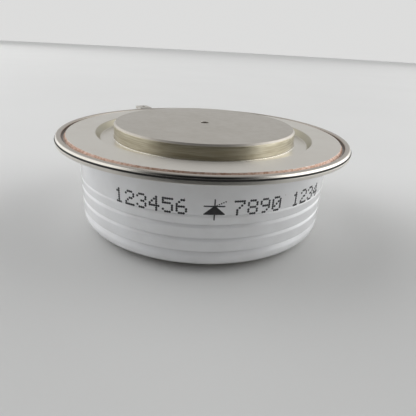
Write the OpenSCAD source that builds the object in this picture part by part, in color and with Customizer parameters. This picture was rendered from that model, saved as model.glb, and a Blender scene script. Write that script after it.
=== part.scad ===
// Disc thyristor in a sealed ceramic capsule, clamped between two heat sinks.
// The origin is the centre of the lower (anode) contact face. +Z runs to the upper (cathode) face.

/* [Capsule] */
// Height between the two contact faces
overall_h = 26; // [24:0.5:30]
// Outer diameter of the cold welded rim
flange_d = 75; // [68:0.5:84]
// Width of the rim outside the ceramic
rim_overhang = 5.3; // [5:0.1:8]
// Wall of the ceramic ring
ceramic_wall = 4.4; // [3.4:0.1:5]
// Gap between the ceramic's bore and the poles' shoulders
bore_gap = 2.6; // [2:0.1:3]

/* [Contacts] */
// Chamfer round each contact face
contact_chamfer = 0.45; // [0.2:0.05:1]
// Height of the cathode face above the flange plate
cathode_proud = 2.2; // [1.6:0.1:3]
// Height of the ceramic's foot above the anode face
anode_proud = 1.5; // [1.4:0.1:2.6]
// How far each pole widens below its brazed sheet
shoulder_w = 1.7; // [1:0.1:2]
// Diameter of the centre hole in each contact face
locating_hole_d = 2.2; // [1.6:0.1:3.6]
// Depth of the centre hole in each contact face
locating_hole_h = 3; // [2:0.25:3.5]
// Height of the anode pole's seat
anode_boss_h = 2.4; // [1.8:0.1:3]
// Height of the cathode pole's seat
cathode_boss_h = 1.5; // [1.4:0.1:2]

/* [Ceramic ring] */
// Height of the lowest shed
foot_shed_h = 4; // [3.6:0.1:4.6]
// Height of each middle shed
shed_h = 3.12; // [2.6:0.02:3.4]
// Number of middle sheds
shed_count = 2; // [1:1:2]
// Height of the top shed
top_shed_h = 2.2; // [1.8:0.1:2.8]
// Depth of the valley above each shed
shed_depth = 0.55; // [0.3:0.05:0.9]
// Depth of the shallow valley under the plain band
band_valley = 0.28; // [0.15:0.01:0.4]
// Place of each shed's crest below the valley above it, as a share of the shed's height
shed_crest = 0.5; // [0.44:0.01:0.56]
// Rounding of each shed's crest
crest_r = 1.5; // [0.8:0.1:1.6]
// Rounding of the lowest shed's crest
foot_crest_r = 1; // [0.5:0.1:1.1]
// Rounding of each shed's lower edge
shed_edge_r = 0.22; // [0.1:0.01:0.3]
// Rounding in each valley
valley_r = 0.14; // [0.05:0.01:0.2]
// Rounding of the ceramic's outer foot
foot_r = 2.4; // [1.4:0.1:2.6]

/* [Flanges] */
// Thickness of the cathode's sheet
cathode_sheet = 0.8; // [0.5:0.1:1]
// Thickness of the sheet on top of the ceramic
housing_sheet = 0.5; // [0.4:0.1:0.7]
// Thickness of the anode's sheet
anode_sheet = 0.5; // [0.4:0.1:0.8]
// Width of the recess floor round the cathode pole
recess_floor_w = 3.4; // [2.6:0.1:3.6]
// Depth of the recess below the plate
recess_depth = 1.5; // [1:0.1:1.8]
// Width of the recess's sloping wall
recess_slope_w = 1.1; // [0.6:0.1:1.4]
// Inside radius of each bend in the sheets
bend_r = 0.35; // [0.2:0.05:0.5]
// Rounding where the plate turns down into the recess
plate_bend_r = 0.35; // [0.2:0.05:0.8]
// Diameter of the rounded bead at the rim
bead_d = 1.6; // [1.4:0.05:1.8]
// Height of the sheared lip under the bead
lip_h = 0.45; // [0.3:0.01:0.46]
// Depth of the notch between the bead and the lip
lip_notch = 0.14; // [0.05:0.01:0.2]
// Width of the pressed groove inside the bead
groove_w = 1; // [0.9:0.05:1.8]
// Width of the groove's sloping wall
groove_slope_w = 0.5; // [0.2:0.05:0.7]
// Sheet left between each face of the groove and the seam
groove_web = 0.12; // [0.08:0.01:0.2]
// Leg of each brazed fillet round a pole
fillet_leg = 0.5; // [0.3:0.1:0.8]

/* [Power stack] */
// Height of the wafer's middle above the capsule's middle
stack_offset = 0.3; // [0:0.05:0.6]
// Thickness of the silicon wafer
wafer_t = 0.8; // [0.5:0.1:1]
// Thickness of the anode's molybdenum disc
anode_disc_t = 2; // [1.5:0.1:2.5]
// Width of the wafer's edge outside the cathode's molybdenum disc and the cathode pole's seat
wafer_edge_w = 1.5; // [1:0.1:2]
// Reach of the wafer and the anode's molybdenum disc past the anode pole's seat
seat_lap = 0.5; // [0.2:0.1:1]
// Thickness of the cathode's molybdenum disc
cathode_disc_t = 1; // [0.8:0.1:1.4]
// Centre hole of the cathode's molybdenum disc
cathode_disc_hole_d = 5; // [3.5:0.1:7]
// Width of the silicone ring outside the wafer
passivation_w = 1.6; // [1:0.1:1.8]
// Height of the silicone ring above and below the wafer
passivation_lap = 0.6; // [0.3:0.1:0.8]
// Width of the locating ring's foot outside its upright wall
locating_foot_w = 2.4; // [1.6:0.1:3]
// Thickness of the locating ring's foot
locating_foot_t = 1.2; // [0.8:0.1:1.6]
// Thickness of the locating ring's upright wall
locating_wall_t = 1.2; // [0.8:0.1:1.6]

/* [Gate contact] */
// Diameter of the gate bore in the cathode pole
gate_bore_d = 8; // [7.4:0.1:9]
// Height of the gate lead above the cathode pole's lower face
gate_axis_h = 2.9; // [2.6:0.1:3.2]
// Diameter of the gate pin's stem
pin_d = 2; // [1.6:0.1:2.2]
// Height of the gate pin's collar
pin_collar_h = 1.6; // [1.4:0.1:1.8]
// Number of disc springs
spring_count = 4; // [2:2:6]
// Thickness of each disc spring
spring_t = 0.25; // [0.15:0.01:0.3]
// Height of the pressed stack of disc springs
spring_stack_h = 2; // [1.9:0.1:2.2]
// Wall of the insulating cup round the gate contact
cup_wall = 0.9; // [0.5:0.05:0.9]
// Thickness of the insulating cup's top
cup_top_t = 0.6; // [0.4:0.1:0.8]
// Diameter of the gate lead
lead_d = 0.9; // [0.6:0.05:1]
// Wall of the insulating tube on the gate lead
lead_sleeve_wall = 0.45; // [0.2:0.05:0.45]

/* [Terminals] */
// Direction of both terminals, anticlockwise from +X
terminal_angle = 122; // [90:1:150]
// Wall of the gate tube
gate_tube_wall = 0.5; // [0.3:0.05:0.7]
// Length of gate tube outside the ceramic
gate_tube_out = 4.6; // [3.6:0.1:6]
// Width of the brazed collar round the gate tube
gate_collar_w = 1.1; // [0.8:0.05:1.4]
// Height of the brazed collar
gate_collar_h = 0.8; // [0.5:0.1:1.2]
// Wall of the gate terminal's ferrule
ferrule_wall = 0.47; // [0.3:0.01:0.7]
// Length of the ferrule
ferrule_l = 2.8; // [2.4:0.1:3.6]
// Length of gate tube inside the ferrule
ferrule_grip = 1.6; // [1:0.1:1.8]
// Thickness of both flat tabs
tab_t = 0.8; // [0.5:0.1:0.8]
// Width of the gate tab
gate_tab_w = 2.8; // [2.4:0.1:3.4]
// Length of the gate tab
gate_tab_l = 6.5; // [6:0.5:12]
// Hole in the gate tab
gate_tab_hole_d = 1.2; // [0.8:0.1:1.4]
// Width of the cathode tab
cathode_tab_w = 4.2; // [3.6:0.1:6.3]
// Length of the cathode tab beyond the rim
cathode_tab_l = 6.5; // [6:0.5:16]
// Hole in the cathode tab
cathode_tab_hole_d = 1.4; // [1:0.1:2]
// Distance of each hole's centre from its tab's tip
tab_hole_in = 2.5; // [2:0.1:3]
// Rise of the cathode tab outside the rim
tab_rise = 1.6; // [0.8:0.1:1.8]
// Rounding of the tabs' outer corners
tab_corner_r = 0.7; // [0.3:0.1:1.1]

/* [Clearances] */
// Gap at a brazed or bonded round joint
bond_gap = 0.03; // [0.01:0.01:0.05]
// Gap round a piece that is only located
slip_gap = 0.1; // [0.05:0.01:0.15]
// Gap round the gate lead and round its insulating tube
lead_gap = 0.05; // [0.03:0.01:0.1]

/* [Hidden] */

// Straight steps in each rounded corner of a profile
corner_steps = 5;
// Length by which a cut runs past the faces that it opens
cut = 1;
// Shares of a valley's depth that the roundings at its mouth and in its corner may take
mouth_share = 0.4;
corner_share = 0.25;
// Straight height between the lowest crest and the rounding of the foot
foot_straight_h = 0.3;

// Radii, from the rim inward
rim_r = flange_d / 2;
ceramic_r = rim_r - rim_overhang;
ceramic_bore_r = ceramic_r - ceramic_wall;
shoulder_r = ceramic_bore_r - bore_gap;
contact_r = shoulder_r - shoulder_w;
bead_r = bead_d / 2;
bead_inner_r = rim_r - bead_d;
groove_inner_r = bead_inner_r - groove_w;
recess_inner_r = contact_r + recess_floor_w;
recess_outer_r = recess_inner_r + recess_slope_w;

// Radii of the stack, from the locating ring in the ceramic's bore inward
locating_r = ceramic_bore_r - slip_gap;
locating_wall_r = locating_r - locating_foot_w - locating_wall_t;
passivation_r = locating_wall_r - slip_gap;
wafer_r = passivation_r - passivation_w;
cathode_disc_r = wafer_r - wafer_edge_w;
anode_boss_r = wafer_r - seat_lap;

// Heights of the two joints on the ceramic
plate_z = overall_h - cathode_proud;
seam_z = plate_z - cathode_sheet;
ceramic_top_z = seam_z - housing_sheet;
recess_floor_z = plate_z - recess_depth;
recess_under_z = recess_floor_z - cathode_sheet;

// Heights of the stack, whose wafer sets the height of both poles
wafer_z = overall_h / 2 + stack_offset - wafer_t / 2;
anode_pole_h = wafer_z - anode_disc_t;
anode_shoulder_z = anode_pole_h - anode_boss_h;
wafer_top_z = wafer_z + wafer_t;
cathode_base_z = wafer_top_z + cathode_disc_t;
cathode_shoulder_z = cathode_base_z + cathode_boss_h;

// Gate contact
gate_z = cathode_base_z + gate_axis_h;
collar_z = gate_z - pin_collar_h / 2;
spring_z = gate_z + pin_collar_h / 2;
cup_roof_z = spring_z + spring_stack_h;
gate_bore_top_z = cup_roof_z + cup_top_t;
cup_r = gate_bore_d / 2 - slip_gap;
cup_inner_r = cup_r - cup_wall;
pin_collar_r = cup_inner_r - 2 * slip_gap;
spring_pitch = spring_stack_h / spring_count;
lead_sleeve_bore_d = lead_d + 2 * lead_gap;
lead_sleeve_d = lead_sleeve_bore_d + 2 * lead_sleeve_wall;
gate_slot_w = lead_sleeve_d + 4 * slip_gap;

// Gate outlet
gate_tube_bore_d = lead_sleeve_d + 2 * lead_gap;
gate_tube_d = gate_tube_bore_d + 2 * gate_tube_wall;
gate_fit_d = gate_tube_d + 2 * bond_gap;
gate_collar_d = gate_tube_d + 2 * gate_collar_w;
ferrule_d = gate_fit_d + 2 * ferrule_wall;
gate_tube_start = ceramic_bore_r - 0.6;
gate_tube_end = ceramic_r + gate_tube_out;
ferrule_start = gate_tube_end - ferrule_grip;
ferrule_end = ferrule_start + ferrule_l;
lead_end = ferrule_end - 0.3;
lead_socket = pin_d / 2 + 0.2;

// Ceramic ring, whose foot's rounding leaves room for the lowest shed's slope
sheds_top_z = anode_proud + foot_shed_h + shed_count * shed_h + top_shed_h;
foot_round_r = min(foot_r, foot_shed_h - 2 * shed_depth - foot_straight_h);
foot_crest_z = anode_proud + foot_round_r + foot_straight_h;
counterbore_r = recess_outer_r + bend_shift(cathode_sheet, recess_slope_w, recess_depth) + 4 * slip_gap;
counterbore_z = recess_under_z - 5 * slip_gap;

// Colours
nickel = [0.72, 0.71, 0.67];
ceramic_white = [0.9, 0.9, 0.91];
copper = [0.72, 0.45, 0.33];
silver = [0.8, 0.8, 0.78];
molybdenum = [0.5, 0.5, 0.52];
silicon = [0.3, 0.32, 0.36];
clear_silicone = [0.86, 0.88, 0.86];
white_plastic = [0.94, 0.94, 0.92];

// How far a bend's lower corner lies beyond its upper one, on a sheet of thickness t
function bend_shift(t, run, rise) = t * tan(atan2(rise, run) / 2);

function unit(v) = v / norm(v);

// The points of one corner at b, between a and c, rounded to radius r
function corner(a, b, c, r) =
    let (
        before = unit(b - a),
        after = unit(c - b),
        turn = acos(before * after),
        centre = b + unit(after - before) * r / cos(turn / 2),
        first = b - before * r * tan(turn / 2),
        start = atan2(first.y - centre.y, first.x - centre.x),
        side = sign(cross(before, after))
    )
    [for (i = [0 : corner_steps]) centre + r * [cos(start + side * turn * i / corner_steps),
                                                sin(start + side * turn * i / corner_steps)]];

// A closed outline from points [radius, height, rounding]
function rounded(path) =
    let (count = len(path))
    [for (i = [0 : count - 1])
        let (
            a = path[(i + count - 1) % count],
            b = path[i],
            c = path[(i + 1) % count]
        )
        each b[2] > 0 ? corner([a.x, a.y], [b.x, b.y], [c.x, c.y], b[2]) : [[b.x, b.y]]];

// A turned piece with the given outline
module turned(path) {
    rotate_extrude($fn = 120) polygon(rounded(path));
}

// A flat ring or disc between two heights
module disc(inner_r, outer_r, z0, z1) {
    difference() {
        translate([0, 0, z0]) cylinder(h = z1 - z0, r = outer_r, $fn = 120);
        if (inner_r > 0) translate([0, 0, z0 - cut]) cylinder(h = z1 - z0 + 2 * cut, r = inner_r, $fn = 96);
    }
}

// Turns +X to the terminals and lifts to a height
module at_terminal(z) {
    rotate([0, 0, terminal_angle]) translate([0, 0, z]) children();
}

// A rod that lies along +X from one distance to another
module rod(from, to, d) {
    translate([from, 0, 0]) rotate([0, 90, 0]) cylinder(h = to - from, d = d, $fn = 48);
}

// The blind centre hole of a contact face, opening at height z. side is 1 upward and -1 downward
module locating_hole(z, side) {
    low = side > 0 ? z - locating_hole_h : z - cut;
    translate([0, 0, low]) cylinder(h = locating_hole_h + cut, d = locating_hole_d, $fn = 48);
}

// The outline of a tab's outer end, seen from above, to cut its corners round
module tab_outline(from, to, w) {
    square_end = to - tab_corner_r;
    half = w / 2 - tab_corner_r;
    translate([from, -w / 2]) square([square_end - from, w]);
    translate([from, -half]) square([to - from, 2 * half]);
    for (y = [-half, half]) translate([square_end, y]) circle(r = tab_corner_r, $fn = 32);
}

module cathode_pole() {
    color(nickel) difference() {
        turned([
            [0, cathode_base_z, 0],
            [cathode_disc_r, cathode_base_z, 0.3],
            [cathode_disc_r, cathode_shoulder_z, 0],
            [shoulder_r, cathode_shoulder_z, 0.4],
            [shoulder_r, recess_under_z, 0],
            [contact_r, recess_under_z, 0],
            [contact_r, overall_h - contact_chamfer, 0],
            [contact_r - contact_chamfer, overall_h, 0],
            [0, overall_h, 0]
        ]);
        locating_hole(overall_h, 1);
        translate([0, 0, cathode_base_z - cut])
            cylinder(h = gate_bore_top_z - cathode_base_z + cut, d = gate_bore_d, $fn = 64);
        at_terminal(gate_z) {
            rod(0, shoulder_r + cut, gate_slot_w);
            translate([0, -gate_slot_w / 2, -gate_axis_h - cut])
                cube([shoulder_r + cut, gate_slot_w, gate_axis_h + cut]);
        }
    }
}

module cathode_braze_ring() {
    color(silver) braze_fillet(recess_floor_z, 1);
}

// A concave fillet between a pole's side and the sheet at height z. side is 1 upward and -1 downward
module braze_fillet(z, side) {
    start_r = contact_r + bond_gap;
    end_r = start_r + fillet_leg;
    scoop_r = fillet_leg * 0.95;
    turned([
        [start_r, z, 0],
        [start_r, z + side * fillet_leg, 0],
        for (i = [0 : corner_steps])
            let (a = 180 + 90 * i / corner_steps)
            [end_r + scoop_r * cos(a), z + side * (fillet_leg + scoop_r * sin(a)), 0],
        [end_r, z, 0]
    ]);
}

module cathode_flange() {
    hole_r = contact_r + bond_gap;
    shift = bend_shift(cathode_sheet, recess_slope_w, recess_depth);
    color(nickel) turned([
        [hole_r, recess_floor_z, 0],
        [recess_inner_r, recess_floor_z, bend_r],
        [recess_outer_r, plate_z, plate_bend_r],
        [groove_inner_r, plate_z, 0.12],
        [groove_inner_r + groove_slope_w, seam_z + groove_web, 0.1],
        [bead_inner_r, seam_z + groove_web, 0.1],
        [bead_inner_r, seam_z + bead_r, bead_r * 0.7],
        [rim_r, seam_z + bead_r, bead_r * 0.95],
        [rim_r, seam_z, 0],
        [recess_outer_r + shift, seam_z, bend_r],
        [recess_inner_r + shift, recess_under_z, bend_r + cathode_sheet / 2],
        [hole_r, recess_under_z, 0]
    ]);
}

module housing_flange() {
    lip_top_z = seam_z - bead_r + lip_h;
    color(nickel) turned([
        [counterbore_r, seam_z, 0],
        [rim_r, seam_z, 0],
        [rim_r - lip_notch, lip_top_z + lip_notch, 0.03],
        [rim_r, lip_top_z, 0],
        [rim_r, seam_z - bead_r, 0.15],
        [bead_inner_r, seam_z - bead_r, bead_r * 0.3],
        [bead_inner_r, seam_z - groove_web, 0.1],
        [groove_inner_r + groove_slope_w, seam_z - groove_web, 0.1],
        [groove_inner_r, ceramic_top_z, 0.12],
        [counterbore_r, ceramic_top_z, 0]
    ]);
}

// The outline of one shed's side, from the valley above it over its crest
function shed_side(top_z, depth, h) = [
    [ceramic_r - depth, top_z, min(valley_r, depth * corner_share)],
    [ceramic_r, top_z - h * shed_crest, crest_r]
];

// The rounded edge over a valley
function edge_over(depth, z) = [ceramic_r, z, min(shed_edge_r, depth * mouth_share)];

module ceramic_ring() {
    middle_top_z = sheds_top_z - top_shed_h;
    foot_top_z = anode_proud + foot_shed_h;
    color(ceramic_white) difference() {
        turned(concat(
            [
                [ceramic_bore_r, counterbore_z, 0],
                [counterbore_r, counterbore_z, 0],
                [counterbore_r, ceramic_top_z, 0],
                [ceramic_r, ceramic_top_z, 0.4],
                edge_over(band_valley, sheds_top_z)
            ],
            shed_side(sheds_top_z, band_valley, top_shed_h),
            [for (i = [0 : shed_count - 1])
                let (z = middle_top_z - i * shed_h)
                each concat([edge_over(shed_depth, z)], shed_side(z, shed_depth, shed_h))],
            [
                edge_over(shed_depth, foot_top_z),
                [ceramic_r - shed_depth, foot_top_z, min(valley_r, shed_depth * corner_share)],
                [ceramic_r, foot_crest_z, foot_crest_r],
                [ceramic_r, anode_proud, foot_round_r],
                [ceramic_bore_r, anode_proud, 0.5]
            ]
        ));
        at_terminal(gate_z) rod(ceramic_bore_r - cut, ceramic_r + cut, gate_fit_d);
    }
}

module anode_pole() {
    color(nickel) difference() {
        turned([
            [0, 0, 0],
            [contact_r - contact_chamfer, 0, 0],
            [contact_r, contact_chamfer, 0],
            [contact_r, anode_proud, 0],
            [shoulder_r, anode_proud, 0],
            [shoulder_r, anode_shoulder_z, 0.4],
            [anode_boss_r, anode_shoulder_z, 0],
            [anode_boss_r, anode_pole_h, 0.3],
            [0, anode_pole_h, 0]
        ]);
        locating_hole(0, -1);
    }
}

module anode_flange() {
    color(nickel) disc(contact_r + bond_gap, ceramic_r - foot_round_r, anode_proud - anode_sheet, anode_proud);
}

module anode_braze_ring() {
    color(silver) braze_fillet(anode_proud - anode_sheet, -1);
}

module anode_molybdenum_disc() {
    color(molybdenum) disc(0, wafer_r, anode_pole_h, wafer_z);
}

module silicon_wafer() {
    color(silicon) disc(0, wafer_r, wafer_z, wafer_top_z);
}

module cathode_molybdenum_disc() {
    color(molybdenum) disc(cathode_disc_hole_d / 2, cathode_disc_r, wafer_top_z, cathode_base_z);
}

module passivation_ring() {
    inner_r = wafer_r + bond_gap;
    lip_r = cathode_disc_r + slip_gap;
    color(clear_silicone) turned([
        [inner_r, wafer_z - passivation_lap, 0],
        [passivation_r, wafer_z - passivation_lap, 0.2],
        [passivation_r, wafer_top_z + passivation_lap, 0.4],
        [lip_r, wafer_top_z + passivation_lap, 0.2],
        [lip_r, wafer_top_z, 0],
        [inner_r, wafer_top_z, 0]
    ]);
}

module locating_ring() {
    wall_outer_r = locating_wall_r + locating_wall_t;
    foot_top_z = anode_shoulder_z + locating_foot_t;
    wall_top_z = wafer_top_z;
    color(white_plastic) turned([
        [anode_boss_r + slip_gap, anode_shoulder_z, 0],
        [locating_r, anode_shoulder_z, 0.2],
        [locating_r, foot_top_z, 0.2],
        [wall_outer_r, foot_top_z, 0],
        [wall_outer_r, wall_top_z, 0.3],
        [locating_wall_r, wall_top_z, 0.3],
        [locating_wall_r, foot_top_z, 0],
        [anode_boss_r + slip_gap, foot_top_z, 0]
    ]);
}

module gate_contact_pin() {
    pin_r = pin_d / 2;
    color(silver) difference() {
        turned([
            [0, wafer_top_z, 0],
            [pin_r, wafer_top_z, 0.3],
            [pin_r, collar_z, 0],
            [pin_collar_r, collar_z, 0.2],
            [pin_collar_r, spring_z, 0.2],
            [pin_r, spring_z, 0],
            [pin_r, cup_roof_z - spring_pitch, 0.3],
            [0, cup_roof_z - spring_pitch, 0]
        ]);
        at_terminal(gate_z) rod(lead_socket, pin_collar_r + cut, lead_sleeve_bore_d);
    }
}

module gate_disc_springs() {
    inner_r = pin_d / 2 + slip_gap;
    outer_r = pin_collar_r - slip_gap;
    cone_h = spring_pitch - spring_t;
    color(silver) for (i = [0 : spring_count - 1]) {
        inner_z = spring_z + i * spring_pitch + (i % 2 == 0 ? cone_h : 0);
        outer_z = spring_z + i * spring_pitch + (i % 2 == 0 ? 0 : cone_h);
        turned([
            [inner_r, inner_z, 0],
            [outer_r, outer_z, 0],
            [outer_r, outer_z + spring_t, 0],
            [inner_r, inner_z + spring_t, 0]
        ]);
    }
}

module gate_sleeve() {
    foot_z = cathode_base_z + 2 * slip_gap;
    slot_w = lead_sleeve_d + 2 * slip_gap;
    color(white_plastic) difference() {
        turned([
            [cup_inner_r, foot_z, 0],
            [cup_r, foot_z, 0.2],
            [cup_r, gate_bore_top_z, 0.3],
            [0, gate_bore_top_z, 0],
            [0, cup_roof_z, 0],
            [cup_inner_r, cup_roof_z, 0]
        ]);
        at_terminal(gate_z) {
            rod(0, cup_r + cut, slot_w);
            translate([0, -slot_w / 2, -gate_axis_h - cut]) cube([cup_r + cut, slot_w, gate_axis_h + cut]);
        }
    }
}

module gate_lead() {
    color(silver) at_terminal(gate_z) rod(lead_socket, lead_end, lead_d);
}

module gate_lead_sleeve() {
    color(white_plastic) at_terminal(gate_z) difference() {
        rod(pin_collar_r + slip_gap, ferrule_start, lead_sleeve_d);
        rod(0, ferrule_start + cut, lead_sleeve_bore_d);
    }
}

module gate_tube() {
    color(nickel) at_terminal(gate_z) difference() {
        rod(gate_tube_start, gate_tube_end, gate_tube_d);
        rod(gate_tube_start - cut, gate_tube_end + cut, gate_tube_bore_d);
    }
}

module gate_tube_collar() {
    color(silver) difference() {
        at_terminal(gate_z) difference() {
            rod(ceramic_r - gate_collar_h, ceramic_r + gate_collar_h, gate_collar_d);
            rod(ceramic_bore_r, ceramic_r + gate_collar_h + cut, gate_fit_d);
        }
        disc(0, ceramic_r + bond_gap, gate_z - gate_collar_d, gate_z + gate_collar_d);
    }
}

module gate_terminal() {
    tab_end = ferrule_end + gate_tab_l;
    color(nickel) at_terminal(gate_z) difference() {
        union() {
            rod(ferrule_start, ferrule_end, ferrule_d);
            translate([0, 0, -tab_t / 2]) linear_extrude(tab_t) tab_outline(ferrule_end - 0.3, tab_end, gate_tab_w);
        }
        rod(ferrule_start - cut, gate_tube_end + bond_gap, gate_fit_d);
        rod(ferrule_start, ferrule_end - 0.25, lead_sleeve_bore_d);
        translate([tab_end - tab_hole_in, 0, -tab_t]) cylinder(h = 2 * tab_t, d = gate_tab_hole_d, $fn = 32);
    }
}

module cathode_terminal() {
    root_r = ceramic_r + 0.4;
    root_end_r = groove_inner_r - 0.3;
    under_z = seam_z - bead_r - slip_gap;
    blade_z = under_z + tab_rise;
    drop = ceramic_top_z - under_z;
    bend_start_r = rim_r + 0.1;
    bend_end_r = bend_start_r + 1.6;
    drop_end_r = root_end_r + 0.6;
    drop_shift = bend_shift(tab_t, drop_end_r - root_end_r, drop);
    rise_shift = bend_shift(tab_t, bend_end_r - bend_start_r, tab_rise);
    tip_r = rim_r + cathode_tab_l;
    color(nickel) at_terminal(0) difference() {
        intersection() {
            rotate([90, 0, 0]) linear_extrude(cathode_tab_w, center = true) polygon(rounded([
                [root_r, ceramic_top_z, 0],
                [root_end_r, ceramic_top_z, 0.1],
                [drop_end_r, under_z, 0.1],
                [bend_start_r, under_z, 0.2],
                [bend_end_r, blade_z, 0.4],
                [tip_r, blade_z, 0],
                [tip_r, blade_z - tab_t, 0],
                [bend_end_r + rise_shift, blade_z - tab_t, 0.2],
                [bend_start_r + rise_shift, under_z - tab_t, 0.4],
                [drop_end_r - drop_shift, under_z - tab_t, 0.1],
                [root_end_r - drop_shift, ceramic_top_z - tab_t, 0.1],
                [root_r, ceramic_top_z - tab_t, 0]
            ]));
            translate([0, 0, under_z - 2 * tab_t]) linear_extrude(tab_rise + drop + 3 * tab_t)
                tab_outline(root_r - cut, tip_r, cathode_tab_w);
        }
        translate([tip_r - tab_hole_in, 0, under_z - tab_t])
            cylinder(h = tab_rise + 2 * tab_t, d = cathode_tab_hole_d, $fn = 32);
    }
}

cathode_pole();
cathode_braze_ring();
cathode_flange();
housing_flange();
ceramic_ring();
anode_pole();
anode_flange();
anode_braze_ring();
anode_molybdenum_disc();
silicon_wafer();
cathode_molybdenum_disc();
passivation_ring();
locating_ring();
gate_contact_pin();
gate_disc_springs();
gate_sleeve();
gate_lead();
gate_lead_sleeve();
gate_tube();
gate_tube_collar();
gate_terminal();
cathode_terminal();
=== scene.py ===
"""The looks of a disc thyristor in a sealed ceramic capsule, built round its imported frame.

Lengths are millimetres while a piece is modelled. finish_mesh turns them into metres.
"""
import logging
from dataclasses import dataclass, field
from enum import Enum
from math import acos, atan2, ceil, cos, hypot, pi, radians, sin, tan
from typing import Callable, NamedTuple, Sequence, Union

import bpy
from mathutils import Matrix, Vector


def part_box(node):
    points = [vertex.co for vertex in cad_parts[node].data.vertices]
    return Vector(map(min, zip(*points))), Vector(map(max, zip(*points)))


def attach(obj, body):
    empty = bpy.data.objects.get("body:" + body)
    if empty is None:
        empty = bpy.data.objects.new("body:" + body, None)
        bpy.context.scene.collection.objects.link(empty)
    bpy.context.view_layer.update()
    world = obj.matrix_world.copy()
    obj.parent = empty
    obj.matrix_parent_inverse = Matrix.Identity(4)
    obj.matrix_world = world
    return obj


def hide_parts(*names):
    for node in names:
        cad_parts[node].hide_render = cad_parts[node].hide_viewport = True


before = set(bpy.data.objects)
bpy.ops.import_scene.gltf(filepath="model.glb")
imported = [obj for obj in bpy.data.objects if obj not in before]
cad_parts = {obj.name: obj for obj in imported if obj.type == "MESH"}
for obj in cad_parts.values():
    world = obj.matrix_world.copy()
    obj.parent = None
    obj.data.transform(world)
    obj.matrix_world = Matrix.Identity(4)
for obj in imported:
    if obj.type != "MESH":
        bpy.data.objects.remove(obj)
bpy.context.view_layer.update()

log = logging.getLogger("scene")

MM = 0.001
SEGMENTS = 256
ARC_STEP = radians(9)
GUARD = 0.02
DOUBLES = 0.004
SMOOTH_BELOW = radians(34)
TERMINAL_ANGLE = radians(122)

Point = tuple[float, float]
Input = Union[float, tuple, bpy.types.NodeSocket]


class Side(Enum):
    """The side of the capsule that a piece belongs to."""

    UP = 1
    DOWN = -1


class Corner(NamedTuple):
    """One corner of a turned outline: its radius, height and rounding."""

    r: float
    z: float
    rounding: float = 0.0


# Reading the frame


def low(node: str) -> Vector:
    """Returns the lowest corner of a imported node, in millimetres.

    Args:
        node: The node's name.

    Returns:
        The corner.
    """
    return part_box(node)[0] / MM


def high(node: str) -> Vector:
    """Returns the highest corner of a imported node, in millimetres.

    Args:
        node: The node's name.

    Returns:
        The corner.
    """
    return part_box(node)[1] / MM


def reach(node: str) -> float:
    """Returns the radius of a turned node.

    Args:
        node: The node's name.

    Returns:
        The radius in millimetres.
    """
    return high(node).x


# Mesh tools


def deselect() -> None:
    """Leaves edit mode and selects nothing."""
    if bpy.context.object and bpy.context.object.mode != "OBJECT":
        bpy.ops.object.mode_set(mode="OBJECT")
    bpy.ops.object.select_all(action="DESELECT")


def only(piece: bpy.types.Object) -> None:
    """Makes a piece the only selected and active one.

    Args:
        piece: The piece to select.
    """
    deselect()
    piece.select_set(True)
    bpy.context.view_layer.objects.active = piece


def edit(piece: bpy.types.Object, select: str = "SELECT") -> None:
    """Opens a piece in edit mode with all or none of it selected.

    Args:
        piece: The piece to open.
        select: SELECT or DESELECT, for all or none of it.
    """
    only(piece)
    bpy.ops.object.mode_set(mode="EDIT")
    bpy.ops.mesh.select_mode(type="VERT")
    bpy.ops.mesh.select_all(action=select)


def select_where(piece: bpy.types.Object, mode: str, test: Callable[[Vector, Vector], bool]) -> None:
    """Selects the edges or faces of a piece that pass a test, and leaves it in edit mode.

    Args:
        piece: The piece to select on.
        mode: EDGE or FACE.
        test: Takes an edge's two ends, or a face's centre and normal.
    """
    edit(piece, "DESELECT")
    bpy.ops.mesh.select_mode(type=mode)
    bpy.ops.object.mode_set(mode="OBJECT")
    mesh = piece.data
    if mode == "FACE":
        for face in mesh.polygons:
            face.select = test(face.center, face.normal)
    else:
        for edge in mesh.edges:
            a, b = (mesh.vertices[i].co for i in edge.vertices)
            edge.select = test(a, b)
    bpy.ops.object.mode_set(mode="EDIT")


def rounded(corners: Sequence[Corner], closed: bool) -> list[Point]:
    """Works out an outline's points, with each rounded corner as an arc.

    A guard point stands just outside each arc, so that the flat beside it shades flat.

    Args:
        corners: The outline's corners in order.
        closed: Whether the last corner joins the first.

    Returns:
        The points as radius and height.
    """
    points: list[Point] = []
    count = len(corners)
    for i, corner in enumerate(corners):
        here = Vector((corner.r, corner.z))
        if not corner.rounding or (not closed and i in (0, count - 1)):
            points.append((corner.r, corner.z))
            continue
        before = here - Vector(corners[i - 1][:2])
        after = Vector(corners[(i + 1) % count][:2]) - here
        before.normalize()
        after.normalize()
        turn = acos(max(-1.0, min(1.0, before.dot(after))))
        reach_back = corner.rounding * tan(turn / 2)
        centre = here + (after - before).normalized() * corner.rounding / cos(turn / 2)
        start = here - before * reach_back - centre
        way = 1 if before.x * after.y > before.y * after.x else -1
        steps = max(2, ceil(turn / ARC_STEP))
        first = atan2(start.y, start.x)
        points.append(tuple(here - before * (reach_back + GUARD)))
        for step in range(steps + 1):
            angle = first + way * turn * step / steps
            points.append(tuple(centre + corner.rounding * Vector((cos(angle), sin(angle)))))
        points.append(tuple(here + after * (reach_back + GUARD)))
    return points


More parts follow.
